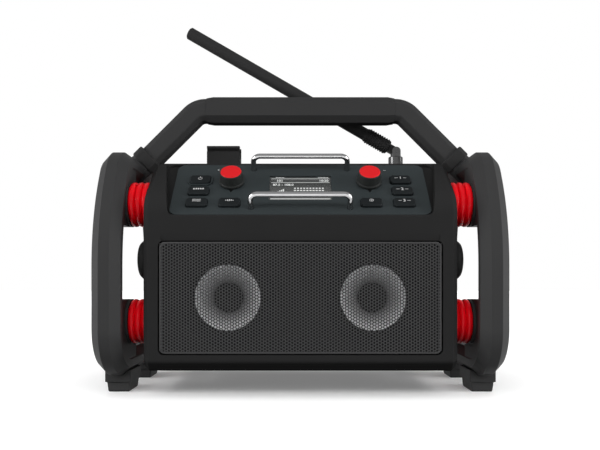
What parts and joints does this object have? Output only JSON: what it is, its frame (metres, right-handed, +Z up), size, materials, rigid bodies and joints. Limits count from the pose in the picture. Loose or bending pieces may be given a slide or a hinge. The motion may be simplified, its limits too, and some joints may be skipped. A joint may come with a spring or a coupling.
{
  "type": "jobsite radio",
  "caption": "Rugged site radio: speaker housing hung on red rubber dampers between looped side frames, with arched handle, folding antenna.",
  "frame": {"origin": "on the ground under the middle of the side frames", "axes": "+X to the user's right, -Y out of the speaker grille towards the user, +Z up"},
  "size_m": [0.424, 0.25, 0.433],
  "materials": {
    "housing": "fine moulded grain, satin black",
    "panel": "satin bluish dark grey",
    "lens": "clear window",
    "screen": "grey display glass",
    "board": "green solder mask",
    "metal_part": "plain steel",
    "brass_bush": "turned brass",
    "grille": "powder-coated black",
    "basket": "black stamped steel",
    "cone": "grey paper cone with a rubber surround",
    "magnet": "ferrite ring with plates",
    "frame": "glass-filled plastic, satin dark grey",
    "handle": "satin dark grey plastic",
    "rubber_black": "matt black rubber",
    "rubber_red": "glossy deep red rubber",
    "chrome_rod": "polished chrome",
    "dark_chrome": "dark chrome",
    "knob": "satin dark plastic",
    "knob_cap": "bright red",
    "key": "satin dark grey"
  },
  "bodies": {
    "radio": {"antenna_clip": "rubber_black", "battery_contacts": "handle", "battery_door_pin": "metal_part", "bump_stop_left": "rubber_black", "bump_stop_right": "rubber_black", "control_panel": "panel", "damper_bolts": "metal_part", "dampers_front_left": "rubber_red", "dampers_front_right": "rubber_red", "dampers_rear_left": "rubber_red", "dampers_rear_right": "rubber_red", "display_lens": "lens", "display_module": "screen", "encoders": "brass_bush", "foot_front_left": "rubber_black", "foot_front_right": "rubber_black", "foot_rear_left": "rubber_black", "foot_rear_right": "rubber_black", "front_housing": "housing", "guard_bar_front": "chrome_rod", "guard_bar_rear": "chrome_rod", "handle_bar": "handle", "handle_collar_left": "rubber_black", "handle_collar_right": "rubber_black", "handle_grip": "rubber_black", "housing_screws": "metal_part", "key_board": "board", "main_board": "board", "mains_inlet": "handle", "power_supply": "metal_part", "rear_housing": "housing", "side_frame_left": "frame", "side_frame_right": "frame", "socket_block": "handle", "speaker_basket_left": "basket", "speaker_basket_right": "basket", "speaker_cone_left": "cone", "speaker_cone_right": "cone", "speaker_grille": "grille", "speaker_magnet_left": "magnet", "speaker_magnet_right": "magnet"},
    "volume_knob": {"volume_knob": "knob", "volume_knob_cap": "knob_cap"},
    "tuning_knob": {"tuning_knob": "knob", "tuning_knob_cap": "knob_cap"},
    "antenna_base": {"antenna_base": "dark_chrome", "antenna_pin": "dark_chrome"},
    "antenna_whip": {"antenna_whip": "rubber_black"},
    "battery_door": {"battery_door": "housing"},
    "socket_flap": {"socket_flap": "rubber_black"},
    "power_key": {"power_key": "key"},
    "mode_key": {"mode_key": "key"},
    "menu_key": {"menu_key": "key"},
    "bass_key": {"bass_key": "key"},
    "info_key": {"info_key": "key"},
    "preset_one_key": {"preset_one_key": "key"},
    "preset_two_key": {"preset_two_key": "key"},
    "preset_three_key": {"preset_three_key": "key"}
  },
  "joints": [
    {"name": "volume_turn", "type": "hinge", "parent": "radio", "child": "volume_knob", "pos_m": [-0.0735, -0.07703, 0.22597], "axis": [0, -0.7071, 0.7071], "continuous": true},
    {"name": "tuning_turn", "type": "hinge", "parent": "radio", "child": "tuning_knob", "pos_m": [0.0735, -0.07703, 0.22597], "axis": [0, -0.7071, 0.7071], "continuous": true},
    {"name": "power_press", "type": "slide", "parent": "radio", "child": "power_key", "axis": [0, 0.7071, -0.7071], "range_m": [0, 0.001], "stiffness_N_per_m": 400, "springref_m": -0.001},
    {"name": "mode_press", "type": "slide", "parent": "radio", "child": "mode_key", "axis": [0, 0.7071, -0.7071], "range_m": [0, 0.001], "stiffness_N_per_m": 400, "springref_m": -0.001},
    {"name": "menu_press", "type": "slide", "parent": "radio", "child": "menu_key", "axis": [0, 0.7071, -0.7071], "range_m": [0, 0.001], "stiffness_N_per_m": 400, "springref_m": -0.001},
    {"name": "bass_press", "type": "slide", "parent": "radio", "child": "bass_key", "axis": [0, 0.7071, -0.7071], "range_m": [0, 0.001], "stiffness_N_per_m": 400, "springref_m": -0.001},
    {"name": "info_press", "type": "slide", "parent": "radio", "child": "info_key", "axis": [0, 0.7071, -0.7071], "range_m": [0, 0.001], "stiffness_N_per_m": 400, "springref_m": -0.001},
    {"name": "preset_one_press", "type": "slide", "parent": "radio", "child": "preset_one_key", "axis": [0, 0.7071, -0.7071], "range_m": [0, 0.001], "stiffness_N_per_m": 400, "springref_m": -0.001},
    {"name": "preset_two_press", "type": "slide", "parent": "radio", "child": "preset_two_key", "axis": [0, 0.7071, -0.7071], "range_m": [0, 0.001], "stiffness_N_per_m": 400, "springref_m": -0.001},
    {"name": "preset_three_press", "type": "slide", "parent": "radio", "child": "preset_three_key", "axis": [0, 0.7071, -0.7071], "range_m": [0, 0.001], "stiffness_N_per_m": 400, "springref_m": -0.001},
    {"name": "antenna_swivel", "type": "hinge", "parent": "radio", "child": "antenna_base", "pos_m": [0.1178, 0.03, 0.255], "axis": [0, 0, 1], "range_deg": [-180, 0]},
    {"name": "antenna_tilt", "type": "hinge", "parent": "antenna_base", "child": "antenna_whip", "pos_m": [0.1178, 0.03, 0.2797], "axis": [0, 1, 0], "range_deg": [-30, 60]},
    {"name": "battery_door_hinge", "type": "hinge", "parent": "radio", "child": "battery_door", "pos_m": [-0.0578, 0.1165, 0.125], "axis": [0, 0, 1], "range_deg": [0, 110]},
    {"name": "socket_flap_hinge", "type": "hinge", "parent": "radio", "child": "socket_flap", "pos_m": [0.098, 0.1155, 0.1788], "axis": [1, 0, 0], "range_deg": [0, 110]}
  ]
}
